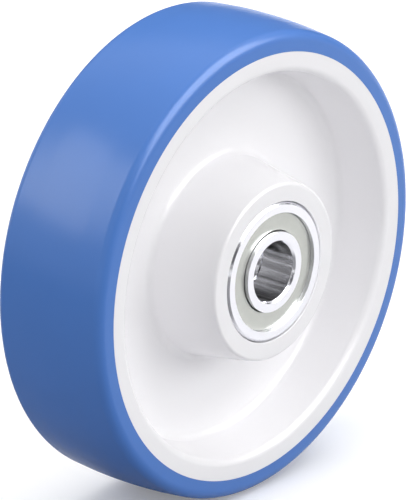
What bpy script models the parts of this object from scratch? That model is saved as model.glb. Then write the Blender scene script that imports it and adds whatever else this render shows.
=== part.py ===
"""Castor wheel with a polyurethane tread and two shielded ball bearings.

The wheel stands upright and turns about +Y. Its origin is the middle of the wheel, and the
side called front looks along -Y. Turned pieces are drawn about their own Z axis: the
wheel_axis empty lays that axis along -Y, and each bearing hangs on an empty of its own whose
Z axis points out of the wheel.
"""
import math

import bmesh
import bpy
from mathutils import Vector

MM = 0.001

# Wheel and tread
WHEEL_DIAMETER = 160 * MM
TREAD_THICKNESS = 7.8 * MM
TREAD_CROWN_RADIUS = 180 * MM
TREAD_SIDE_FALL = 0.6 * MM
TREAD_SHOULDER_ROUND = 4.6 * MM
KEY_WIDTH = 18 * MM
KEY_HEIGHT = 2 * MM
KEY_FLANK = 1.5 * MM

# Wheel centre, one moulding
RIM_WIDTH = 45 * MM
RIM_LIP_WIDTH = 6.7 * MM
RIM_LIP_ROUND = 2.6 * MM
RIM_ROOT_ROUND = 3 * MM
RIM_DRAFT = math.radians(10.5)
WEB_THICKNESS = 10 * MM
HUB_LENGTH = 60 * MM
HUB_SETBACK = 0.2 * MM
HUB_WALL = 6.5 * MM
HUB_DRAFT = math.radians(9.5)
HUB_EDGE_ROUND = 1.2 * MM
HUB_ROOT_ROUND = 3 * MM
SEAT_CHAMFER = 0.3 * MM
SEAT_SHOULDER = 3 * MM

# Ball bearing
BORE_DIAMETER = 20 * MM
BEARING_DIAMETER = 47 * MM
BEARING_WIDTH = 14 * MM
BALL_SECTION_SHARE = 0.294
BALL_COUNT = 8
RACE_CONFORMITY = 0.52
INNER_RACE_DEPTH = 0.95 * MM
OUTER_RACE_DEPTH = 1.2 * MM
RING_CHAMFER = 0.8 * MM
RING_INNER_EDGE = 0.25 * MM
SHIELD_THICKNESS = 0.5 * MM
SHIELD_FLANGE = 1.1 * MM
SHIELD_EDGE_ROUND = 0.3 * MM
SHIELD_STEP = 0.6 * MM
CAGE_THICKNESS = 0.5 * MM
CAGE_RADIAL_WIDTH = 3.1 * MM
SPACER_WALL = 2.5 * MM
SPACER_CHAMFER = 0.4 * MM

# Clearances
FIT_GAP = 0.2 * MM
BALL_GAP = 0.08 * MM
POCKET_GAP = 0.3 * MM
RUNNING_GAP = 0.3 * MM

# Facets
WHEEL_STEPS = 48
BEARING_STEPS = 24
BALL_SEGMENTS = 10
BALL_RINGS = 6
POCKET_STEPS = 6
RACE_STEPS = 4
ARC_STEP = math.radians(30)
SMALL_EDGE = 1 * MM
FILLET_ROOM = 0.48
MERGE_DISTANCE = 0.00001

# Worked out from the sizes above
WHEEL_RADIUS = WHEEL_DIAMETER / 2
RIM_RADIUS = WHEEL_RADIUS - TREAD_THICKNESS
BEARING_RADIUS = BEARING_DIAMETER / 2
BORE_RADIUS = BORE_DIAMETER / 2
BALL_DIAMETER = BALL_SECTION_SHARE * (BEARING_DIAMETER - BORE_DIAMETER)
BALL_RADIUS = BALL_DIAMETER / 2
PITCH_RADIUS = (BEARING_RADIUS + BORE_RADIUS) / 2
RACE_RADIUS = BALL_DIAMETER * RACE_CONFORMITY
INNER_RACE_BOTTOM = PITCH_RADIUS - BALL_RADIUS - BALL_GAP
OUTER_RACE_BOTTOM = PITCH_RADIUS + BALL_RADIUS + BALL_GAP
INNER_LAND_RADIUS = INNER_RACE_BOTTOM + INNER_RACE_DEPTH
OUTER_LAND_RADIUS = OUTER_RACE_BOTTOM - OUTER_RACE_DEPTH
RECESS_RADIUS = OUTER_LAND_RADIUS + SHIELD_STEP
POCKET_RADIUS = BALL_RADIUS + POCKET_GAP + CAGE_THICKNESS / 2
LAND_HEIGHT = CAGE_THICKNESS / 2 + FIT_GAP / 2
CAGE_TOP = POCKET_RADIUS + CAGE_THICKNESS / 2
SHIELD_INSIDE = CAGE_TOP + RUNNING_GAP
SHIELD_OUTSIDE = SHIELD_INSIDE + SHIELD_THICKNESS
SHIELD_SEAT = SHIELD_OUTSIDE - SHIELD_FLANGE - FIT_GAP
BEARING_MIDDLE = (HUB_LENGTH - BEARING_WIDTH) / 2


def bore(radius, steps):
    """Radius of a faceted hole whose flats touch the true circle."""
    return radius / math.cos(math.pi / steps)


def rounded_outline(corners):
    """Points of a closed outline whose corners are (radius, height, rounding)."""
    points = []
    for index, (radius, height, rounding) in enumerate(corners):
        corner = Vector((radius, height))
        before = Vector(corners[index - 1][:2]) - corner
        after = Vector(corners[(index + 1) % len(corners)][:2]) - corner
        if rounding == 0:
            points.append(corner)
            continue
        between = before.angle(after)
        turn = math.pi - between
        room = FILLET_ROOM * min(before.length, after.length)
        reach = min(rounding * math.tan(turn / 2), room)
        start = corner + before.normalized() * reach
        end = corner + after.normalized() * reach
        bisector = (before.normalized() + after.normalized()).normalized()
        centre = corner + bisector * reach / math.cos(between / 2)
        arc_radius = (start - centre).length
        first_spoke = (start - centre).normalized()
        last_spoke = (end - centre).normalized()
        segments = 1
        if rounding > SMALL_EDGE:
            segments = max(1, round(turn / ARC_STEP))
        for step in range(segments + 1):
            spoke = first_spoke.slerp(last_spoke, step / segments)
            points.append(centre + spoke * arc_radius)
    return points


def both_sides(front_corners):
    """The front half of a symmetric outline, run from bore to rim, and then its back half."""
    back_corners = [
        (radius, -height, rounding)
        for radius, height, rounding in reversed(front_corners)
        if height > 0
    ]
    return front_corners + back_corners


def make_material(name, colour, metallic, roughness):
    """A plain Principled material."""
    material = bpy.data.materials.new(name)
    material.use_nodes = True
    shader = material.node_tree.nodes["Principled BSDF"]
    shader.inputs["Base Color"].default_value = (*colour, 1)
    shader.inputs["Metallic"].default_value = metallic
    shader.inputs["Roughness"].default_value = roughness
    material.diffuse_color = (*colour, 1)
    return material


def add_piece(name, mesh, material, parent, location=(0, 0, 0), rotation=(0, 0, 0)):
    """A named object in the wheel's collection, placed under its parent."""
    piece = bpy.data.objects.new(name, mesh)
    collection.objects.link(piece)
    piece.parent = parent
    piece.location = location
    piece.rotation_euler = rotation
    if mesh and not mesh.materials:
        mesh.materials.append(material)
    return piece


def profile_mesh(name, corners):
    """The outline of a turned piece as a closed loop of edges in the XZ plane."""
    points = rounded_outline(corners)
    mesh = bpy.data.meshes.new(name)
    vertices = [(point.x, 0, point.y) for point in points]
    edges = [(index, (index + 1) % len(points)) for index in range(len(points))]
    mesh.from_pydata(vertices, edges, [])
    return mesh


def turn_profile(piece, steps):
    """Carries a profile once round its own Z axis."""
    screw = piece.modifiers.new("turned", "SCREW")
    screw.axis = "Z"
    screw.angle = math.tau
    screw.steps = steps
    screw.render_steps = steps
    screw.use_merge_vertices = True
    screw.merge_threshold = MERGE_DISTANCE
    screw.use_smooth_shade = True


def wheel_centre_profile():
    """Hub, web and rim of the moulded centre, with a bearing seat on each side."""
    hub_face = HUB_LENGTH / 2 - HUB_SETBACK
    seat_floor = HUB_LENGTH / 2 - BEARING_WIDTH - FIT_GAP
    seat_radius = bore(BEARING_RADIUS + FIT_GAP, WHEEL_STEPS)
    web_face = WEB_THICKNESS / 2
    rim_face = RIM_WIDTH / 2
    hub_radius = BEARING_RADIUS + HUB_WALL
    hub_root = hub_radius + (hub_face - web_face) * math.tan(HUB_DRAFT)
    lip_radius = RIM_RADIUS - RIM_LIP_WIDTH
    rim_root = lip_radius - (rim_face - web_face) * math.tan(RIM_DRAFT)
    key_face = KEY_WIDTH / 2
    return both_sides([
        (seat_radius - SEAT_SHOULDER, seat_floor, 0),
        (seat_radius, seat_floor, 0),
        (seat_radius, hub_face, SEAT_CHAMFER),
        (hub_radius, hub_face, HUB_EDGE_ROUND),
        (hub_root, web_face, HUB_ROOT_ROUND),
        (rim_root, web_face, RIM_ROOT_ROUND),
        (lip_radius, rim_face, RIM_LIP_ROUND),
        (RIM_RADIUS, rim_face, 0),
        (RIM_RADIUS, key_face, 0),
        (RIM_RADIUS + KEY_HEIGHT, key_face - KEY_FLANK, 0),
    ])


def tread_profile():
    """The tyre section: crowned running face, round shoulders, and a groove for the key."""
    rim_face = RIM_WIDTH / 2
    key_face = KEY_WIDTH / 2 + FIT_GAP
    inside = RIM_RADIUS + FIT_GAP
    shoulder_face = rim_face - TREAD_SIDE_FALL

    def crown(height):
        return WHEEL_RADIUS - TREAD_CROWN_RADIUS + math.sqrt(TREAD_CROWN_RADIUS**2 - height**2)

    return both_sides([
        (inside + KEY_HEIGHT, key_face - KEY_FLANK, 0),
        (inside, key_face, 0),
        (inside, rim_face, 0),
        (crown(shoulder_face), shoulder_face, TREAD_SHOULDER_ROUND),
        (crown(shoulder_face / 2), shoulder_face / 2, 0),
        (WHEEL_RADIUS, 0, 0),
    ])


def spacer_profile():
    """Plain tube that keeps the two inner rings apart."""
    end = BEARING_MIDDLE - BEARING_WIDTH / 2 - FIT_GAP
    return both_sides([
        (bore(BORE_RADIUS, BEARING_STEPS), end, 0),
        (BORE_RADIUS + SPACER_WALL, end, SPACER_CHAMFER),
    ])


def race_arc(bottom, land, outward):
    """Half of a raceway groove, from its bottom to its land, as sharp corners."""
    centre = bottom - outward * RACE_RADIUS
    reach = math.acos(abs(land - centre) / RACE_RADIUS)
    steps = RACE_STEPS // 2
    angles = [reach * step / steps for step in range(steps + 1)]
    return [
        (centre + outward * RACE_RADIUS * math.cos(angle), RACE_RADIUS * math.sin(angle), 0)
        for angle in angles
    ]


def outer_ring_profile():
    """Ring with its race inside and a stepped seat for a shield at each end."""
    face = BEARING_WIDTH / 2
    race = [
        (bore(radius, BEARING_STEPS), height, rounding)
        for radius, height, rounding in race_arc(OUTER_RACE_BOTTOM, OUTER_LAND_RADIUS, 1)
    ]
    return both_sides(race + [
        (bore(OUTER_LAND_RADIUS, BEARING_STEPS), SHIELD_SEAT, 0),
        (RECESS_RADIUS, SHIELD_SEAT, 0),
        (RECESS_RADIUS, face, RING_INNER_EDGE),
        (BEARING_RADIUS, face, RING_CHAMFER),
    ])


def inner_ring_profile():
    """Ring with its race outside and a plain bore for the axle."""
    face = BEARING_WIDTH / 2
    race = race_arc(INNER_RACE_BOTTOM, INNER_LAND_RADIUS, -1)
    return both_sides([
        (bore(BORE_RADIUS, BEARING_STEPS), face, RING_CHAMFER),
        (INNER_LAND_RADIUS, face, RING_INNER_EDGE),
    ] + race[::-1])


def shield_profile():
    """Pressed disc whose outer edge is turned in against its seat."""
    rim = RECESS_RADIUS - FIT_GAP
    flange_end = SHIELD_OUTSIDE - SHIELD_FLANGE
    hole = bore(INNER_LAND_RADIUS + RUNNING_GAP, BEARING_STEPS)
    return [
        (hole, SHIELD_INSIDE, 0),
        (hole, SHIELD_OUTSIDE, 0),
        (rim, SHIELD_OUTSIDE, SHIELD_EDGE_ROUND),
        (rim, flange_end, 0),
        (rim - SHIELD_THICKNESS, flange_end, 0),
        (rim - SHIELD_THICKNESS, SHIELD_INSIDE, 0),
    ]


def ribbon_mesh():
    """Middle surface of one cage half: a flat ring that bulges over each ball."""
    radii = [PITCH_RADIUS + CAGE_RADIAL_WIDTH * share for share in (-0.5, 0, 0.5)]
    start = math.asin(LAND_HEIGHT / POCKET_RADIUS)
    ribbon = bmesh.new()
    rows = []
    for ball in range(BALL_COUNT):
        for step in range(POCKET_STEPS + 1):
            swing = start + (math.pi - 2 * start) * step / POCKET_STEPS
            offset = -math.asin(POCKET_RADIUS * math.cos(swing) / PITCH_RADIUS)
            angle = math.tau * ball / BALL_COUNT + offset
            row = []
            for radius in radii:
                aside = Vector((radius * math.cos(offset) - PITCH_RADIUS, radius * math.sin(offset)))
                dome = math.sqrt(max(0, POCKET_RADIUS**2 - aside.length_squared))
                place = (radius * math.cos(angle), radius * math.sin(angle), max(LAND_HEIGHT, dome))
                row.append(ribbon.verts.new(place))
            rows.append(row)
    for index, row in enumerate(rows):
        following = rows[(index + 1) % len(rows)]
        for inner in range(len(radii) - 1):
            corners = (row[inner], row[inner + 1], following[inner + 1], following[inner])
            ribbon.faces.new(corners).smooth = True
    mesh = bpy.data.meshes.new("cage_ribbon")
    ribbon.to_mesh(mesh)
    ribbon.free()
    return mesh


def ball_mesh():
    """One bearing ball, shared by every ball."""
    ball = bmesh.new()
    bmesh.ops.create_uvsphere(
        ball, u_segments=BALL_SEGMENTS, v_segments=BALL_RINGS, radius=BALL_RADIUS
    )
    mesh = bpy.data.meshes.new("bearing_ball")
    ball.to_mesh(mesh)
    ball.free()
    mesh.shade_smooth()
    return mesh


def add_turned(name, mesh, steps, material, parent, rotation=(0, 0, 0)):
    """A turned piece made from a profile that it may share with its twin."""
    piece = add_piece(name, mesh, material, parent, rotation=rotation)
    turn_profile(piece, steps)


def add_cage_half(name, mesh, material, parent, rotation=(0, 0, 0)):
    """One pressed half of the cage, given its sheet thickness."""
    piece = add_piece(name, mesh, material, parent, rotation=rotation)
    sheet = piece.modifiers.new("sheet", "SOLIDIFY")
    sheet.thickness = CAGE_THICKNESS
    sheet.offset = 0
    sheet.use_even_offset = True


def add_bearing(side, axis, meshes, looks):
    """All pieces of one bearing, on the empty whose Z axis points out of the wheel."""
    turned_over = (math.pi, 0, 0)
    steel = looks["ring_steel"]
    shield = looks["shield_sheet"]
    cage = looks["cage_sheet"]
    add_turned(f"outer_ring_{side}", meshes["outer_ring"], BEARING_STEPS, steel, axis)
    add_turned(f"inner_ring_{side}", meshes["inner_ring"], BEARING_STEPS, steel, axis)
    add_turned(f"shield_outer_{side}", meshes["shield"], BEARING_STEPS, shield, axis)
    add_turned(f"shield_inner_{side}", meshes["shield"], BEARING_STEPS, shield, axis, turned_over)
    add_cage_half(f"cage_outer_{side}", meshes["ribbon"], cage, axis)
    add_cage_half(f"cage_inner_{side}", meshes["ribbon"], cage, axis, turned_over)
    for ball in range(BALL_COUNT):
        angle = math.tau * ball / BALL_COUNT
        centre = (PITCH_RADIUS * math.cos(angle), PITCH_RADIUS * math.sin(angle), 0)
        add_piece(f"ball_{side}_{ball + 1}", meshes["ball"], looks["ball_steel"], axis, centre)


def main():
    for old in list(bpy.data.objects):
        bpy.data.objects.remove(old)
    bpy.context.scene.collection.children.link(collection)
    looks = {
        "tread": make_material("blue_polyurethane", (0.08, 0.2, 0.62), 0, 0.4),
        "centre": make_material("white_polyamide", (0.86, 0.86, 0.88), 0, 0.35),
        "spacer": make_material("turned_steel", (0.45, 0.45, 0.46), 1, 0.4),
        "ring_steel": make_material("ground_steel", (0.8, 0.8, 0.84), 1, 0.15),
        "ball_steel": make_material("polished_steel", (0.8, 0.8, 0.82), 1, 0.05),
        "shield_sheet": make_material("shield_sheet", (0.56, 0.56, 0.5), 0.6, 0.45),
        "cage_sheet": make_material("cage_sheet", (0.6, 0.58, 0.52), 1, 0.35),
    }
    meshes = {
        "outer_ring": profile_mesh("outer_ring_profile", outer_ring_profile()),
        "inner_ring": profile_mesh("inner_ring_profile", inner_ring_profile()),
        "shield": profile_mesh("shield_profile", shield_profile()),
        "ribbon": ribbon_mesh(),
        "ball": ball_mesh(),
    }
    wheel_axis = add_piece("wheel_axis", None, None, None, rotation=(math.pi / 2, 0, 0))
    centre_mesh = profile_mesh("wheel_centre_profile", wheel_centre_profile())
    add_turned("wheel_centre", centre_mesh, WHEEL_STEPS, looks["centre"], wheel_axis)
    tread_mesh = profile_mesh("tread_profile", tread_profile())
    add_turned("tread", tread_mesh, WHEEL_STEPS, looks["tread"], wheel_axis)
    spacer_mesh = profile_mesh("spacer_profile", spacer_profile())
    add_turned("spacer_tube", spacer_mesh, BEARING_STEPS, looks["spacer"], wheel_axis)
    for side, outward in (("front", 1), ("back", -1)):
        tilt = (0, 0, 0) if side == "front" else (math.pi, 0, 0)
        place = (0, 0, outward * BEARING_MIDDLE)
        axis = add_piece(f"bearing_axis_{side}", None, None, wheel_axis, place, tilt)
        add_bearing(side, axis, meshes, looks)


collection = bpy.data.collections.new("castor_wheel")
if __name__ == "__main__":
    main()
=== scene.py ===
"""Looks of the castor wheel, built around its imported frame.

The wheel's axle lies along Y and its front looks along -Y. Turned pieces are drawn as a
section of radius and height, where height runs out of the wheel's front, and are then
carried round the axle.
"""

import math

import bmesh
import bpy
from bpy.props import FloatProperty, FloatVectorProperty, IntProperty, PointerProperty
from mathutils import Matrix, Vector


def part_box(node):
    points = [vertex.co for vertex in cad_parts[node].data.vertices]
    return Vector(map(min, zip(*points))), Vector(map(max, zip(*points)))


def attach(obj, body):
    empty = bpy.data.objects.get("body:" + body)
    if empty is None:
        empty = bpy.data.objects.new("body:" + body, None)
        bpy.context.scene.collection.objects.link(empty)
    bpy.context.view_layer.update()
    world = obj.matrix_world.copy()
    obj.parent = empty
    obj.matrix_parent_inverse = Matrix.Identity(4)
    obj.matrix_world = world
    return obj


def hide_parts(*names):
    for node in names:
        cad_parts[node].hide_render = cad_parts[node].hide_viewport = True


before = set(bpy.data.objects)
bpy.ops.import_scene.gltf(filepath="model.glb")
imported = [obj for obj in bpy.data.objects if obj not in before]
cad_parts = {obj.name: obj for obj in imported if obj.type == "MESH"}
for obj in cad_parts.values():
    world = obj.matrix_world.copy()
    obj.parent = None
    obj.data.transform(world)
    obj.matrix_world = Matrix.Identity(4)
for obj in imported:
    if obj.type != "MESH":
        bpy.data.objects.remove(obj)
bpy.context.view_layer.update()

bl_info = {
    "name": "Castor wheel",
    "version": (1, 0, 0),
    "blender": (4, 5, 0),
    "location": "3D View > Sidebar > Castor wheel",
    "description": "Builds a castor wheel with a polyurethane tread and shielded ball bearings",
    "category": "Add Mesh",
}

MM = 0.001
SIDES = {"front": 1, "back": -1}
BALL_COUNT = 8

# How finely the pieces are drawn
WHEEL_FACETS = 288
CROWN_STEPS = 8
RACE_STEPS = 8
POCKET_STEPS = 20
RIBBON_STEPS = 6
ARC_STEP = math.radians(9)
SHARP_ANGLE = math.radians(32)

# The share of a section's shorter side that a rounding may take
FILLET_ROOM = 0.48
# The share of the width that the crown's own points span, which leaves the shoulders room
CROWN_SHARE = 0.6
# Clearance that keeps two pieces from sharing a face
SEAM = 0.02 * MM

# Side of the square floor, in metres
FLOOR_SIDE = 2.6

# The lamps face the wheel from this far, in metres. A row gives a lamp's name, its direction from
# the wheel, its width and height in metres, its power in watts and its role.
LAMP_DISTANCE = 3
LAMPS = (
    ("overhead", (0.2, 0.1, 1), 4, 4, 67, "fill"),
    ("top_right", (0.75, 0.05, 0.7), 2.5, 2.5, 24, "fill"),
    ("back_top", (0.6, 0.62, 0.5), 2.5, 2.5, 31, "fill"),
    ("left_front", (-0.55, -0.55, 0.63), 2, 2, 17, "fill"),
    ("left", (-1, -0.35, 0.2), 2.5, 2.5, 8, "fill"),
    ("key", (0.2, -0.6, 0.77), 1, 1, 10, "fill"),
    ("front", (0.27, -0.9, 0.32), 3, 1.2, 45, "fill"),
    ("front_screen", (0.28, -0.63, 0.72), 3.6, 2.9, 215, "screen"),
    ("back_left", (-0.62, 0.58, 0.52), 1.6, 1.7, 30, "box"),
)

# Dark studio gear that only gloss and steel see: the direction, the angles from it at which the
# dark is full and ends, and whether light shows between its pieces
STUDIO_GEAR = (
    ((-0.60, -0.73, 0.30), math.radians(16), math.radians(32), True),
    ((0.93, 0.20, 0.10), math.radians(24), math.radians(42), True),
    ((0.74, 0.66, 0.14), math.radians(22), math.radians(40), False),
)

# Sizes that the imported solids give
WHEEL_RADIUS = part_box("tread")[1].x
RIM_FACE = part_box("tread")[1].y
HUB_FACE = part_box("wheel_centre")[1].y
KEY_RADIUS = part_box("wheel_centre")[1].x
BEARING_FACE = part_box("inner_ring_back")[1].y
BEARING_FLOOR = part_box("inner_ring_back")[0].y
BEARING_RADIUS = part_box("outer_ring_back")[1].x
INNER_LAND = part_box("inner_ring_back")[1].x
SHIELD_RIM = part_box("shield_outer_back")[1].x
SHIELD_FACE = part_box("shield_outer_back")[1].y
SHIELD_FLANGE_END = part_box("shield_outer_back")[0].y
SPACER_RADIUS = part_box("spacer_tube")[1].x
BEARING_MIDDLE = (BEARING_FACE + BEARING_FLOOR) / 2
BALL_RADIUS = (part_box("ball_back_1")[1].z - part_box("ball_back_1")[0].z) / 2
PITCH_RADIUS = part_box("ball_back_1")[1].x - BALL_RADIUS
CAGE_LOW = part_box("cage_outer_back")[0].y - BEARING_MIDDLE
CAGE_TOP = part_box("cage_outer_back")[1].y - BEARING_MIDDLE


def linear(hex_colour):
    """Linear RGB of an sRGB hex colour."""
    values = [int(hex_colour[place:place + 2], 16) / 255 for place in (1, 3, 5)]
    return tuple(v / 12.92 if v <= 0.04045 else ((v + 0.055) / 1.055) ** 2.4 for v in values)


def size(name, description, default):
    """A length that a user may change."""
    return FloatProperty(name=name, description=description, default=default, unit="LENGTH")


def colour(name, description, hex_colour):
    """A colour that a user may change."""
    return FloatVectorProperty(
        name=name, description=description, default=linear(hex_colour), subtype="COLOR",
        min=0, max=1,
    )


class TreadSettings(bpy.types.PropertyGroup):
    thickness: size("Thickness", "From the rim to the running face", 7.8 * MM)
    crown: size("Crown radius", "Curvature of the running face across its width", 180 * MM)
    side_fall: size("Side fall", "How far the side face falls towards the shoulder", 0.6 * MM)
    shoulder: size("Shoulder rounding", "Radius between side and running face", 4.6 * MM)
    colour: colour("Colour", "Blue of the polyurethane", "#4F80CE")


class CentreSettings(bpy.types.PropertyGroup):
    lip_width: size("Lip width", "Flat ring inside the tread", 6.7 * MM)
    lip_round: size("Lip rounding", "Radius of the lip's inner edge", 2.6 * MM)
    rim_root: size("Rim fillet", "Radius between rim and web", 3 * MM)
    web: size("Web thickness", "Thickness of the solid disc", 10 * MM)
    hub_wall: size("Hub wall", "Plastic round the bearing at the hub's face", 6.5 * MM)
    hub_round: size("Hub rounding", "Radius of the hub's outer edge", 1.2 * MM)
    hub_root: size("Hub fillet", "Radius between hub and web", 3 * MM)
    key_width: size("Key width", "Ridge on the rim that the tread grips", 18 * MM)
    key_flank: size("Key flank", "Run of the key's sloping side", 1.5 * MM)
    seat_shoulder: size("Seat shoulder", "Ledge behind each bearing", 3 * MM)
    lead_in: size("Seat lead-in", "How much the seat widens at its mouth", 0.32 * MM)
    lead_in_depth: size("Lead-in depth", "Length of the widened mouth", 4 * MM)
    lead_in_round: size("Lead-in rounding", "Radius of the mouth's edge", 0.25 * MM)
    rim_draft: FloatProperty(
        name="Rim draft", description="Slope of the rim's inner wall",
        default=math.radians(10.5), subtype="ANGLE",
    )
    hub_draft: FloatProperty(
        name="Hub draft", description="Slope of the hub's wall",
        default=math.radians(9.5), subtype="ANGLE",
    )
    colour: colour("Colour", "White of the polyamide", "#F7F6F8")


class BearingSettings(bpy.types.PropertyGroup):
    bore: size("Bore radius", "Radius of the axle bore", 10 * MM)
    chamfer: size("Chamfer", "Chamfer of each ring", 0.75 * MM)
    bore_edge: size("Bore edge", "Rounding where the bore's chamfer ends", 0.5 * MM)
    broken_edge: size("Broken edge", "Rounding between a chamfer and its face", 0.15 * MM)
    fine_edge: size("Fine edge", "Rounding of the edges beside the shield", 0.2 * MM)
    race: size("Race radius", "Curvature of the ball grooves", 4.13 * MM)
    play: size("Ball play", "Clearance between ball and groove", 0.08 * MM)
    inner_depth: size("Inner race depth", "Depth of the inner groove", 0.95 * MM)
    outer_depth: size("Outer race depth", "Depth of the outer groove", 1.2 * MM)
    shield_sheet: size("Shield sheet", "Thickness of the shield", 0.5 * MM)
    shield_gap: size("Shield gap", "Gap between shield and inner ring", 0.3 * MM)
    shield_edge: size("Shield edge", "Rounding of the shield's hole", 0.08 * MM)
    shield_bend: size("Shield bend", "Rounding between shield and flange", 0.3 * MM)
    cage_sheet: size("Cage sheet", "Thickness of the cage", 0.5 * MM)
    cage_width: size("Cage width", "Radial width of the cage", 3.1 * MM)
    rivet_head: size("Rivet head", "Radius of a rivet's head", 0.95 * MM)
    tube_bore_edge: size("Tube bore edge", "Rounding of the spacer's bore", 0.15 * MM)
    tube_outer_edge: size("Tube outer edge", "Rounding of the spacer's outside", 0.4 * MM)
    steps: IntProperty(name="Facets", description="Facets round a ring", default=192, min=24)
    ring_colour: colour("Ring steel", "Ground bearing steel", "#EEEEF3")
    bore_colour: colour("Bore steel", "Stoned steel in the bore", "#E4E4E6")
    shield_colour: colour("Shield", "Satin pressed steel", "#C5C7C1")
    cage_colour: colour("Cage", "Pressed cage steel", "#B3AC9C")
    ball_colour: colour("Balls", "Lapped bearing steel", "#E4E4E8")


class StageSettings(bpy.types.PropertyGroup):
    azimuth: FloatProperty(
        name="Azimuth", description="Camera's turn round the wheel",
        default=math.radians(-49.9), subtype="ANGLE",
    )
    elevation: FloatProperty(
        name="Elevation", description="Camera's height above the horizon",
        default=math.radians(22.05), subtype="ANGLE",
    )
    lens: FloatProperty(
        name="Lens", description="A very long lens, for an almost parallel view",
        default=1350, min=50, unit="CAMERA",
    )
    view_height: size("View height", "Height of the frame at the wheel", 163.3 * MM)
    shift: FloatProperty(
        name="Shift", description="Sideways shift that frames the wheel as photographed",
        default=-0.0016,
    )
    floor_colour: colour("Floor", "Pale studio floor", "#EDEDED")


def rounded_outline(corners):
    """Points of a closed section whose corners are (radius, height, rounding)."""
    points = []
    for index, (radius, height, rounding) in enumerate(corners):
        corner = Vector((radius, height))
        before = Vector(corners[index - 1][:2]) - corner
        after = Vector(corners[(index + 1) % len(corners)][:2]) - corner
        if rounding == 0:
            points.append(corner)
            continue
        between = before.angle(after)
        turn = math.pi - between
        room = FILLET_ROOM * min(before.length, after.length)
        reach = min(rounding * math.tan(turn / 2), room)
        bisector = (before.normalized() + after.normalized()).normalized()
        centre = corner + bisector * reach / math.cos(between / 2)
        first_spoke = corner + before.normalized() * reach - centre
        last_spoke = corner + after.normalized() * reach - centre
        segments = max(2, round(turn / ARC_STEP))
        for step in range(segments + 1):
            spoke = first_spoke.normalized().slerp(last_spoke.normalized(), step / segments)
            points.append(centre + spoke * first_spoke.length)
    return points


def both_sides(front_corners):
    """The front half of a symmetric section, run from bore to rim, and then its back half."""
    back_corners = [
        (radius, -height, rounding)
        for radius, height, rounding in reversed(front_corners)
        if height > 0
    ]
    return front_corners + back_corners


def raised(corners, rise):
    """A section moved outward along the axle."""
    return [(radius, height + rise, rounding) for radius, height, rounding in corners]


def lathe(name, corners, steps, turned_over=False):
    """A smooth ring made by carrying a section round the axle, as a mesh in place."""
    points = rounded_outline(corners)
    section = bpy.data.meshes.new(name + "_section")
    vertices = [(point.x, 0, point.y) for point in points]
    edges = [(index, (index + 1) % len(points)) for index in range(len(points))]
    section.from_pydata(vertices, edges, [])
    drawing = bpy.data.objects.new(name + "_drawing", section)
    bpy.context.collection.objects.link(drawing)
    screw = drawing.modifiers.new("turned", "SCREW")
    screw.angle = math.tau
    screw.steps = steps
    screw.render_steps = steps
    screw.use_merge_vertices = True
    screw.merge_threshold = 0.001 * MM
    evaluated = drawing.evaluated_get(bpy.context.evaluated_depsgraph_get())
    mesh = bpy.data.meshes.new_from_object(evaluated)
    bpy.data.objects.remove(drawing)
    bpy.data.meshes.remove(section)
    mesh.name = name
    mesh.transform(Matrix.Rotation(math.pi / 2, 4, "X"))
    if turned_over:
        mesh.transform(Matrix.Rotation(math.pi, 4, "Z"))
    mesh.shade_smooth()
    mesh.set_sharp_from_angle(angle=SHARP_ANGLE)
    return mesh


def place(name, mesh, materials, body, node, slot):
    """Puts a finished mesh in the scene in place of its CAD node."""
    piece = bpy.data.objects.new(name, mesh)
    bpy.context.collection.objects.link(piece)
    for material in materials:
        mesh.materials.append(material)
    weights = piece.modifiers.new("even_normals", "WEIGHTED_NORMAL")
    weights.keep_sharp = True
    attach(piece, body)
    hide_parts(node)
    return piece


def add_node(tree, kind, sockets=None, **settings):
    """Adds a node with its settings; a socket's entry is its value or what is linked to it."""
    node = tree.nodes.new(kind)
    for name, value in settings.items():
        setattr(node, name, value)
    for name, value in (sockets or {}).items():
        if isinstance(value, bpy.types.NodeSocket):
            tree.links.new(value, node.inputs[name])
        else:
            node.inputs[name].default_value = value
    return node


def new_material(name):
    """An empty node material and its tree."""
    material = bpy.data.materials.new(name)
    material.use_nodes = True
    material.node_tree.nodes.clear()
    return material, material.node_tree


def finish_material(tree, shader):
    """Links the shader to the surface."""
    add_node(tree, "ShaderNodeOutputMaterial", {"Surface": shader.outputs[0]})


def shade(base, factor):
    """A lighter or deeper colour, with the alpha that its socket needs."""
    return (*(min(1, factor * value) for value in base), 1)


def object_place(tree):
    """Where a point lies in its own piece, in metres."""
    return add_node(tree, "ShaderNodeTexCoord").outputs["Object"]


def noise(tree, vector, scale, detail):
    """A soft random pattern; a scale of 1 / 2 mm gives spots of about 2 mm."""
    return add_node(tree, "ShaderNodeTexNoise", {
        "Vector": vector, "Scale": scale, "Detail": detail,
    }).outputs["Fac"]


def mixed_colour(tree, factor, first, second):
    """A colour between two, by the factor."""
    return add_node(tree, "ShaderNodeMix", {
        "Factor": factor, "A": first, "B": second,
    }, data_type="RGBA").outputs["Result"]


def bump(tree, height, strength, distance):
    """A relief that a pattern draws in the surface."""
    return add_node(tree, "ShaderNodeBump", {
        "Height": height, "Strength": strength, "Distance": distance,
    }).outputs["Normal"]


def ray_is(tree, *kinds):
    """One for a ray of one of these kinds, such as Camera or Glossy, and else zero."""
    path = add_node(tree, "ShaderNodeLightPath")
    answer = path.outputs[f"Is {kinds[0]} Ray"]
    for kind in kinds[1:]:
        answer = add_node(tree, "ShaderNodeMath", {
            0: answer, 1: path.outputs[f"Is {kind} Ray"],
        }, operation="MAXIMUM").outputs[0]
    return answer


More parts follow.
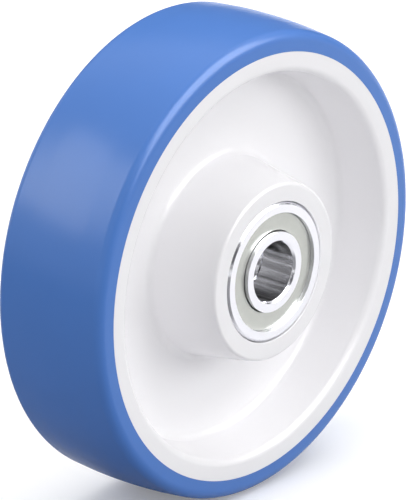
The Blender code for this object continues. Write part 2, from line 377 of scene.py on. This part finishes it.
def polyurethane(settings):
    """Blue polyurethane elastomer, cast round the rim in a polished mould.

    It gives the eye a deep, even blue with a satin skin: broad soft highlights, and a faint
    waviness of the skin that only those highlights show.
    """
    material, tree = new_material("cast_polyurethane")
    place_in_object = object_place(tree)
    cloud = noise(tree, place_in_object, 1 / (24 * MM), 2.0)
    tone = mixed_colour(tree, cloud, shade(settings.colour, 0.93), shade(settings.colour, 1))
    skin = noise(tree, place_in_object, 1 / (1.6 * MM), 3.0)
    shader = add_node(tree, "ShaderNodeBsdfPrincipled", {
        "Base Color": tone, "Roughness": 0.25, "IOR": 1.5, "Specular IOR Level": 0.36,
        "Normal": bump(tree, skin, 0.06, 0.2 * MM),
    })
    finish_material(tree, shader)
    return material


def polyamide(settings):
    """White polyamide, injection-moulded, with the light gloss that its mould leaves.

    It gives the eye a bright, slightly milky white: soft highlights on the roundings and
    shadows that stay light, because a little light travels through the plastic.
    """
    material, tree = new_material("moulded_polyamide")
    grain = noise(tree, object_place(tree), 1 / (0.9 * MM), 4.0)
    shader = add_node(tree, "ShaderNodeBsdfPrincipled", {
        "Base Color": shade(settings.colour, 1), "Roughness": 0.26, "IOR": 1.53,
        "Subsurface Weight": 0.2, "Subsurface Radius": (1, 1, 1),
        "Subsurface Scale": 1.2 * MM, "Normal": bump(tree, grain, 0.05, 0.15 * MM),
    })
    finish_material(tree, shader)
    return material


def turned_metal(name, base, roughness, anisotropy, mark_width, mark_depth):
    """Steel with fine marks that run round the axle, as grinding and turning leave them.

    It gives the eye a bright, clean face. The marks follow radius on a face and height on
    a wall, so a highlight is drawn out across them.
    """
    material, tree = new_material(name)
    parts = add_node(tree, "ShaderNodeSeparateXYZ", {"Vector": object_place(tree)})
    across = add_node(tree, "ShaderNodeCombineXYZ", {
        "X": parts.outputs["X"], "Z": parts.outputs["Z"],
    })
    radius = add_node(tree, "ShaderNodeVectorMath", {0: across.outputs[0]}, operation="LENGTH")
    ring_place = add_node(tree, "ShaderNodeCombineXYZ", {
        "X": radius.outputs["Value"], "Y": parts.outputs["Y"],
    })
    marks = noise(tree, ring_place.outputs[0], 1 / mark_width, 2.0)
    along = add_node(tree, "ShaderNodeTangent", direction_type="RADIAL", axis="Y")
    shader = add_node(tree, "ShaderNodeBsdfPrincipled", {
        "Base Color": shade(base, 1), "Metallic": 1.0, "Roughness": roughness,
        "Anisotropic": anisotropy, "Tangent": along.outputs[0],
        "Normal": bump(tree, marks, 0.3, mark_depth),
    })
    finish_material(tree, shader)
    return material


def drawn_metal(name, base, roughness):
    """Steel with soft streaks along the axle, as drawing a tube and stoning a bore leave them.

    It gives the eye a grey tunnel of light and dark lines. The streaks are really a few
    hundredths of a millimetre wide and are drawn coarser, so that they show. Their relief
    comes from the stoning, but their light and dark tones are a painted reflection: bands of
    reflected light painted into the steel's colour.
    """
    material, tree = new_material(name)
    streak_width = 1.5 * MM
    streak_length = 250 * MM
    stretched = add_node(tree, "ShaderNodeVectorMath", {
        0: object_place(tree), 1: (1 / streak_width, 1 / streak_length, 1 / streak_width),
    }, operation="MULTIPLY")
    streaks = noise(tree, stretched.outputs[0], 1.0, 4.0)
    # Painted reflection: the streaks' light and dark tones stand in for bands of reflected light
    painted_reflection_streaks = add_node(tree, "ShaderNodeMapRange", {
        "Value": streaks, "From Min": 0.36, "From Max": 0.6,
    })
    tone = mixed_colour(tree, painted_reflection_streaks.outputs["Result"], shade(base, 0.6), shade(base, 1.25))
    shader = add_node(tree, "ShaderNodeBsdfPrincipled", {
        "Base Color": tone, "Metallic": 1.0, "Roughness": roughness,
        "Normal": bump(tree, streaks, 0.35, 0.02 * MM),
    })
    finish_material(tree, shader)
    return material


def sheet_steel(name, base, metallic, roughness):
    """Cold-rolled steel sheet, pressed and tumbled.

    It gives the eye a grey satin with a faint cloudiness.
    """
    material, tree = new_material(name)
    cloud = noise(tree, object_place(tree), 1 / (2.5 * MM), 5.0)
    tone = mixed_colour(tree, cloud, shade(base, 0.94), shade(base, 1.04))
    shader = add_node(tree, "ShaderNodeBsdfPrincipled", {
        "Base Color": tone, "Metallic": metallic, "Roughness": roughness,
    })
    finish_material(tree, shader)
    return material


def lapped_steel(settings):
    """Hardened ball steel, lapped to a mirror and filmed with a trace of grease.

    It gives the eye a sharp reflection that dulls in soft patches, where the film is thicker.
    """
    material, tree = new_material("lapped_ball_steel")
    film = noise(tree, object_place(tree), 1 / (1.5 * MM), 3.0)
    gloss = add_node(tree, "ShaderNodeMapRange", {
        "Value": film, "From Min": 0.4, "From Max": 0.7, "To Min": 0.04, "To Max": 0.16,
    })
    shader = add_node(tree, "ShaderNodeBsdfPrincipled", {
        "Base Color": shade(settings.ball_colour, 1), "Metallic": 1.0,
        "Roughness": gloss.outputs["Result"],
    })
    finish_material(tree, shader)
    return material


class CASTOR_OT_tread(bpy.types.Operator):
    """Builds the polyurethane tread round the rim"""
    bl_idname = "castor.tread"
    bl_label = "Tread"

    def execute(self, context):
        tread = context.scene.castor_tread
        centre = context.scene.castor_centre
        inside = WHEEL_RADIUS - tread.thickness + SEAM
        key_face = centre.key_width / 2 + SEAM
        shoulder_face = RIM_FACE - tread.side_fall

        def crown(height):
            return WHEEL_RADIUS - tread.crown + math.sqrt(tread.crown**2 - height**2)

        corners = [
            (KEY_RADIUS + SEAM, key_face - centre.key_flank, 0),
            (inside, key_face, 0),
            (inside, RIM_FACE, 0),
            (crown(shoulder_face), shoulder_face, tread.shoulder),
        ]
        for step in range(1, CROWN_STEPS + 1):
            height = shoulder_face * (CROWN_STEPS - step) / CROWN_STEPS * CROWN_SHARE
            corners.append((crown(height), height, 0))
        mesh = lathe("tread_skin", both_sides(corners), WHEEL_FACETS)
        place("tread_skin", mesh, [polyurethane(tread)], "wheel", "tread", "polyurethane_tread")
        return {"FINISHED"}


class CASTOR_OT_centre(bpy.types.Operator):
    """Builds the moulded wheel centre: hub, solid web and rim"""
    bl_idname = "castor.centre"
    bl_label = "Wheel centre"

    def execute(self, context):
        centre = context.scene.castor_centre
        rim_radius = WHEEL_RADIUS - context.scene.castor_tread.thickness
        seat = BEARING_RADIUS + SEAM
        seat_floor = BEARING_FLOOR - SEAM
        web_face = centre.web / 2
        hub_radius = BEARING_RADIUS + centre.hub_wall
        hub_root = hub_radius + (HUB_FACE - web_face) * math.tan(centre.hub_draft)
        lip_radius = rim_radius - centre.lip_width
        rim_root = lip_radius - (RIM_FACE - web_face) * math.tan(centre.rim_draft)
        key_face = centre.key_width / 2
        corners = both_sides([
            (seat - centre.seat_shoulder, seat_floor, 0),
            (seat, seat_floor, 0),
            (seat, HUB_FACE - centre.lead_in_depth, 0),
            (seat + centre.lead_in, HUB_FACE - centre.lead_in_depth, 0),
            (seat + centre.lead_in, HUB_FACE, centre.lead_in_round),
            (hub_radius, HUB_FACE, centre.hub_round),
            (hub_root, web_face, centre.hub_root),
            (rim_root, web_face, centre.rim_root),
            (lip_radius, RIM_FACE, centre.lip_round),
            (rim_radius, RIM_FACE, 0),
            (rim_radius, key_face, 0),
            (KEY_RADIUS, key_face - centre.key_flank, 0),
        ])
        mesh = lathe("wheel_centre_moulding", corners, WHEEL_FACETS)
        place(
            "wheel_centre_moulding", mesh, [polyamide(centre)], "wheel", "wheel_centre",
            "polyamide_centre",
        )
        return {"FINISHED"}


class CASTOR_OT_rings(bpy.types.Operator):
    """Builds the inner and outer rings of both bearings"""
    bl_idname = "castor.rings"
    bl_label = "Bearing rings"

    def race(self, bottom, land, outward, settings):
        """Half of a groove, from its bottom to its land."""
        centre = bottom - outward * settings.race
        reach = math.acos(abs(land - centre) / settings.race)
        angles = [reach * step / RACE_STEPS for step in range(RACE_STEPS + 1)]
        return [
            (centre + outward * settings.race * math.cos(a), settings.race * math.sin(a), 0)
            for a in angles
        ]

    def execute(self, context):
        bearing = context.scene.castor_bearing
        half = (BEARING_FACE - BEARING_FLOOR) / 2
        outer_bottom = PITCH_RADIUS + BALL_RADIUS + bearing.play
        inner_bottom = PITCH_RADIUS - BALL_RADIUS - bearing.play
        outer_land = outer_bottom - bearing.outer_depth
        recess = SHIELD_RIM + SEAM
        shield_seat = SHIELD_FLANGE_END - BEARING_MIDDLE - SEAM
        outer_race = self.race(outer_bottom, outer_land, 1, bearing)
        outer = raised(both_sides(outer_race + [
            (outer_land, shield_seat, 0),
            (recess, shield_seat, 0),
            (recess, half, bearing.fine_edge),
            (BEARING_RADIUS - bearing.chamfer, half, bearing.broken_edge),
            (BEARING_RADIUS, half - bearing.chamfer, bearing.broken_edge),
        ]), BEARING_MIDDLE)
        inner_race = self.race(inner_bottom, INNER_LAND, -1, bearing)
        inner = raised(both_sides([
            (bearing.bore, half - bearing.chamfer, bearing.bore_edge),
            (bearing.bore + bearing.chamfer, half, bearing.broken_edge),
            (INNER_LAND, half, bearing.fine_edge),
        ] + inner_race[::-1]), BEARING_MIDDLE)
        ground = turned_metal(
            "ground_bearing_steel", bearing.ring_colour, 0.12, 0.3, 0.12 * MM, 0.004 * MM
        )
        honed = drawn_metal("honed_bore_steel", bearing.bore_colour, 0.26)
        for side, sign in SIDES.items():
            turned_over = sign < 0
            mesh = lathe(f"outer_ring_{side}_ground", outer, bearing.steps, turned_over)
            place(mesh.name, mesh, [ground], "wheel", f"outer_ring_{side}", "ground_steel")
            mesh = lathe(f"inner_ring_{side}_ground", inner, bearing.steps, turned_over)
            place(
                mesh.name, mesh, [ground, honed], "axle_side", f"inner_ring_{side}",
                "ground_steel",
            )
            for face in mesh.polygons:
                middle = face.center
                if math.hypot(middle.x, middle.z) < bearing.bore + SEAM:
                    face.material_index = 1
        return {"FINISHED"}


class CASTOR_OT_spacer(bpy.types.Operator):
    """Builds the tube that keeps the two inner rings apart"""
    bl_idname = "castor.spacer"
    bl_label = "Spacer tube"

    def execute(self, context):
        bearing = context.scene.castor_bearing
        corners = both_sides([
            (bearing.bore, BEARING_FLOOR - SEAM, bearing.tube_bore_edge),
            (SPACER_RADIUS, BEARING_FLOOR - SEAM, bearing.tube_outer_edge),
        ])
        mesh = lathe("spacer_tube_drawn", corners, bearing.steps)
        drawn = drawn_metal("drawn_tube_steel", bearing.bore_colour, 0.16)
        place("spacer_tube_drawn", mesh, [drawn], "axle_side", "spacer_tube", "turned_steel")
        return {"FINISHED"}


class CASTOR_OT_shields(bpy.types.Operator):
    """Builds the four pressed shields"""
    bl_idname = "castor.shields"
    bl_label = "Shields"

    def execute(self, context):
        bearing = context.scene.castor_bearing
        face = SHIELD_FACE - BEARING_MIDDLE
        end = SHIELD_FLANGE_END - BEARING_MIDDLE
        inside = face - bearing.shield_sheet
        hole = INNER_LAND + bearing.shield_gap
        satin = sheet_steel("satin_shield_steel", bearing.shield_colour, 0.5, 0.26)
        section = [
            (hole, inside, 0),
            (hole, face, bearing.shield_edge),
            (SHIELD_RIM, face, bearing.shield_bend),
            (SHIELD_RIM, end, 0),
            (SHIELD_RIM - bearing.shield_sheet, end, 0),
            (SHIELD_RIM - bearing.shield_sheet, inside, 0),
        ]
        for side, sign in SIDES.items():
            for name, facing in (("outer", 1), ("inner", -1)):
                turned_over = sign * facing < 0
                corners = raised(section, BEARING_MIDDLE * facing)
                mesh = lathe(f"shield_{name}_{side}_pressed", corners, bearing.steps, turned_over)
                place(
                    mesh.name, mesh, [satin], "wheel", f"shield_{name}_{side}", "shield_sheet"
                )
        return {"FINISHED"}


class CASTOR_OT_balls(bpy.types.Operator):
    """Builds the polished balls of both bearings"""
    bl_idname = "castor.balls"
    bl_label = "Balls"

    def execute(self, context):
        steel = lapped_steel(context.scene.castor_bearing)
        for side in SIDES:
            for number in range(1, BALL_COUNT + 1):
                node = f"ball_{side}_{number}"
                low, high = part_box(node)
                ball = bmesh.new()
                bmesh.ops.create_icosphere(
                    ball, subdivisions=4, radius=BALL_RADIUS,
                    matrix=Matrix.Translation((low + high) / 2),
                )
                mesh = bpy.data.meshes.new(node + "_lapped")
                ball.to_mesh(mesh)
                ball.free()
                mesh.shade_smooth()
                place(mesh.name, mesh, [steel], f"cage_set_{side}", node, "polished_steel")
        return {"FINISHED"}


class CASTOR_OT_cages(bpy.types.Operator):
    """Builds the pressed cage halves, and the rivets that hold them together"""
    bl_idname = "castor.cages"
    bl_label = "Cages"

    def ribbon(self, name, bearing, facing, sign):
        """One cage half: a flat ring that domes over each ball."""
        dome = CAGE_TOP - bearing.cage_sheet / 2
        land = CAGE_LOW + bearing.cage_sheet / 2
        start = math.asin(land / dome)
        shares = [step / RIBBON_STEPS - 0.5 for step in range(RIBBON_STEPS + 1)]
        strip = bmesh.new()
        rows = []
        for ball in range(BALL_COUNT):
            for step in range(POCKET_STEPS + 1):
                swing = start + (math.pi - 2 * start) * step / POCKET_STEPS
                offset = -math.asin(dome * math.cos(swing) / PITCH_RADIUS)
                angle = math.tau * ball / BALL_COUNT + offset
                row = []
                for share in shares:
                    radius = PITCH_RADIUS + bearing.cage_width * share
                    x = radius * math.cos(offset) - PITCH_RADIUS
                    y = radius * math.sin(offset)
                    rise = max(land, math.sqrt(max(0, dome**2 - x**2 - y**2)))
                    height = sign * (BEARING_MIDDLE + facing * rise)
                    row.append(strip.verts.new(
                        (radius * math.cos(angle), -height, radius * math.sin(angle))
                    ))
                rows.append(row)
        for index, row in enumerate(rows):
            following = rows[(index + 1) % len(rows)]
            for inner in range(len(shares) - 1):
                strip.faces.new(
                    (row[inner], row[inner + 1], following[inner + 1], following[inner])
                ).smooth = True
        mesh = bpy.data.meshes.new(name)
        strip.to_mesh(mesh)
        strip.free()
        return mesh

    def rivets(self, name, bearing, sign):
        """Eight round-headed rivets, one on each flat between two balls."""
        group = bmesh.new()
        head_face = CAGE_LOW + bearing.cage_sheet
        for number in range(BALL_COUNT):
            angle = math.tau * (number + 0.5) / BALL_COUNT
            x = PITCH_RADIUS * math.cos(angle)
            z = PITCH_RADIUS * math.sin(angle)
            for facing in (1, -1):
                height = sign * BEARING_MIDDLE + facing * head_face
                half_height = Matrix.Diagonal((1, 0.5, 1, 1))
                bmesh.ops.create_uvsphere(
                    group, u_segments=24, v_segments=12, radius=bearing.rivet_head,
                    matrix=Matrix.Translation((x, -height, z)) @ half_height,
                )
        mesh = bpy.data.meshes.new(name)
        group.to_mesh(mesh)
        group.free()
        mesh.shade_smooth()
        return mesh

    def execute(self, context):
        bearing = context.scene.castor_bearing
        pressed = sheet_steel("pressed_cage_steel", bearing.cage_colour, 1.0, 0.35)
        for side, sign in SIDES.items():
            for name, facing in (("outer", 1), ("inner", -1)):
                title = f"cage_{name}_{side}_pressed"
                mesh = self.ribbon(title, bearing, facing, sign)
                node = f"cage_{name}_{side}"
                piece = place(title, mesh, [pressed], f"cage_set_{side}", node, "cage_sheet")
                sheet = piece.modifiers.new("sheet", "SOLIDIFY")
                sheet.thickness = bearing.cage_sheet
                sheet.offset = 0
            title = f"cage_rivets_{side}"
            mesh = self.rivets(title, bearing, sign)
            piece = bpy.data.objects.new(title, mesh)
            context.collection.objects.link(piece)
            mesh.materials.append(pressed)
            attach(piece, f"cage_set_{side}")
        return {"FINISHED"}


class CASTOR_OT_stage(bpy.types.Operator):
    """Builds the floor, the studio light and the camera"""
    bl_idname = "castor.stage"
    bl_label = "Stage"

    def floor(self, context, stage):
        """A pale floor that the camera sees as white and that keeps the wheel's shadow.

        The light that it throws back on the wheel is dimmer, so the underside stays in shade.
        Steel and gloss see its left half dark: a painted shadow in place of the wheel's shade
        on the floor. It draws the dark lines beside the shield and keeps the tread's underside
        deep.
        """
        bpy.ops.mesh.primitive_plane_add(size=FLOOR_SIDE, location=(0, 0, -WHEEL_RADIUS))
        floor = context.object
        floor.name = "studio_floor"
        material, tree = new_material("matt_floor_paper")
        paper = add_node(tree, "ShaderNodeBsdfDiffuse", {"Color": (*stage.floor_colour, 1)})
        glow = add_node(tree, "ShaderNodeEmission", {"Strength": 0.2})
        bright = add_node(tree, "ShaderNodeAddShader", {
            0: paper.outputs[0], 1: glow.outputs[0],
        })
        dim = add_node(tree, "ShaderNodeBsdfDiffuse", {"Color": (0.42, 0.42, 0.44, 1)})
        shader = add_node(tree, "ShaderNodeMixShader", {
            0: ray_is(tree, "Camera", "Transmission"), 1: dim.outputs[0], 2: bright.outputs[0],
        })
        # Painted shadow: gloss sees the floor's left half dark, in place of the wheel's shade
        # there
        leftward = add_node(tree, "ShaderNodeVectorMath", {
            0: object_place(tree), 1: (-1, 0, 0),
        }, operation="DOT_PRODUCT")
        painted_shadow_half = add_node(tree, "ShaderNodeMapRange", {
            "Value": leftward.outputs["Value"], "From Min": 0.0, "From Max": 0.06,
        }, interpolation_type="SMOOTHSTEP")
        floor_with_painted_shadow = mixed_colour(
            tree, painted_shadow_half.outputs["Result"], (0.88, 0.88, 0.89, 1), (0.26, 0.26, 0.27, 1)
        )
        mirrored = add_node(tree, "ShaderNodeBsdfDiffuse", {"Color": floor_with_painted_shadow})
        shader = add_node(tree, "ShaderNodeMixShader", {
            0: ray_is(tree, "Glossy"), 1: shader.outputs[0], 2: mirrored.outputs[0],
        })
        finish_material(tree, shader)
        floor.data.materials.append(material)

    def world(self, context):
        """A pale studio all round, white where the camera looks at it.

        Dark studio gear behind the camera and to the right gives the steel its dark lines,
        and the light between its pieces breaks them up. The dark at the back right is
        unbroken and keeps the tread's upper skin deep.
        """
        world = bpy.data.worlds.new("pale_studio")
        context.scene.world = world
        world.use_nodes = True
        tree = world.node_tree
        tree.nodes.clear()
        look = add_node(tree, "ShaderNodeTexCoord").outputs["Generated"]
        gaps = add_node(tree, "ShaderNodeMapRange", {
            "Value": noise(tree, look, 7.0, 2.0), "From Min": 0.42, "From Max": 0.5,
        }, interpolation_type="SMOOTHSTEP")
        dark = None
        for direction, full, end, broken in STUDIO_GEAR:
            nearness = add_node(tree, "ShaderNodeVectorMath", {
                0: look, 1: Vector(direction).normalized(),
            }, operation="DOT_PRODUCT")
            gear = add_node(tree, "ShaderNodeMapRange", {
                "Value": nearness.outputs["Value"],
                "From Min": math.cos(end), "From Max": math.cos(full),
            }, interpolation_type="SMOOTHSTEP")
            if broken:
                gear = add_node(tree, "ShaderNodeMath", {
                    0: gear.outputs[0], 1: gaps.outputs["Result"],
                }, operation="MULTIPLY")
            if dark:
                gear = add_node(tree, "ShaderNodeMath", {
                    0: gear.outputs[0], 1: dark.outputs[0],
                }, operation="MAXIMUM")
            dark = gear
        in_gloss = add_node(tree, "ShaderNodeMath", {
            0: dark.outputs[0], 1: ray_is(tree, "Glossy"),
        }, operation="MULTIPLY")
        backdrop = mixed_colour(tree, in_gloss.outputs[0], (1, 1, 1, 1), (0.12, 0.12, 0.13, 1))
        white = add_node(tree, "ShaderNodeBackground", {"Color": backdrop, "Strength": 1.0})
        around = add_node(tree, "ShaderNodeBackground", {
            "Color": (0.93, 0.95, 1, 1), "Strength": 0.03,
        })
        shader = add_node(tree, "ShaderNodeMixShader", {
            0: ray_is(tree, "Camera", "Glossy", "Transmission"),
            1: around.outputs[0], 2: white.outputs[0],
        })
        add_node(tree, "ShaderNodeOutputWorld", {"Surface": shader.outputs[0]})

    def lamp(self, context, name, direction, width, height, power, role):
        """A soft box that looks at the wheel, out of the camera's sight.

        A fill only lights, a screen only shows in gloss and steel, and a box does both.
        """
        light = bpy.data.lights.new(name, "AREA")
        light.shape = "RECTANGLE"
        light.size = width
        light.size_y = height
        light.energy = power
        lamp = bpy.data.objects.new(name, light)
        context.collection.objects.link(lamp)
        lamp.location = Vector(direction).normalized() * LAMP_DISTANCE
        lamp.rotation_euler = Vector(direction).to_track_quat("Z", "Y").to_euler()
        lamp.visible_camera = False
        lamp.visible_diffuse = role != "screen"
        lamp.visible_glossy = role != "fill"

    def camera(self, context, stage):
        """A distant camera with a very long lens, at the photograph's angle."""
        data = bpy.data.cameras.new("long_lens")
        camera = bpy.data.objects.new("long_lens", data)
        context.collection.objects.link(camera)
        data.lens = stage.lens
        data.shift_x = stage.shift
        distance = stage.view_height * data.lens / data.sensor_width
        azimuth, elevation = stage.azimuth, stage.elevation
        outward = Vector((
            math.sin(azimuth) * math.cos(elevation),
            -math.cos(azimuth) * math.cos(elevation),
            math.sin(elevation),
        ))
        camera.location = outward * distance
        camera.rotation_euler = outward.to_track_quat("Z", "Y").to_euler()
        data.clip_start = distance * 0.5
        data.clip_end = distance * 2
        context.scene.camera = camera

    def execute(self, context):
        stage = context.scene.castor_stage
        self.camera(context, stage)
        self.floor(context, stage)
        self.world(context)
        for row in LAMPS:
            self.lamp(context, *row)
        context.scene.view_settings.view_transform = "Standard"
        return {"FINISHED"}


OPERATORS = (
    CASTOR_OT_tread,
    CASTOR_OT_centre,
    CASTOR_OT_rings,
    CASTOR_OT_spacer,
    CASTOR_OT_shields,
    CASTOR_OT_balls,
    CASTOR_OT_cages,
    CASTOR_OT_stage,
)
SETTINGS = {
    "castor_tread": TreadSettings,
    "castor_centre": CentreSettings,
    "castor_bearing": BearingSettings,
    "castor_stage": StageSettings,
}


class CASTOR_PT_wheel(bpy.types.Panel):
    """Lists the wheel's sizes, colours and build steps"""
    bl_idname = "CASTOR_PT_wheel"
    bl_label = "Castor wheel"
    bl_space_type = "VIEW_3D"
    bl_region_type = "UI"
    bl_category = "Castor wheel"

    def draw(self, context):
        for name, group in SETTINGS.items():
            box = self.layout.box()
            box.label(text=name.replace("_", " ").capitalize())
            for setting in group.__annotations__:
                box.prop(getattr(context.scene, name), setting)
        for operator in OPERATORS:
            self.layout.operator(operator.bl_idname)


def register():
    for group in SETTINGS.values():
        bpy.utils.register_class(group)
    for operator in OPERATORS:
        bpy.utils.register_class(operator)
    bpy.utils.register_class(CASTOR_PT_wheel)
    for name, group in SETTINGS.items():
        setattr(bpy.types.Scene, name, PointerProperty(type=group))


def unregister():
    for name in SETTINGS:
        delattr(bpy.types.Scene, name)
    bpy.utils.unregister_class(CASTOR_PT_wheel)
    for operator in reversed(OPERATORS):
        bpy.utils.unregister_class(operator)
    for group in reversed(SETTINGS.values()):
        bpy.utils.unregister_class(group)


def main():
    register()
    bpy.ops.castor.tread()
    bpy.ops.castor.centre()
    bpy.ops.castor.rings()
    bpy.ops.castor.spacer()
    bpy.ops.castor.shields()
    bpy.ops.castor.balls()
    bpy.ops.castor.cages()
    bpy.ops.castor.stage()


if __name__ == "__main__":
    main()
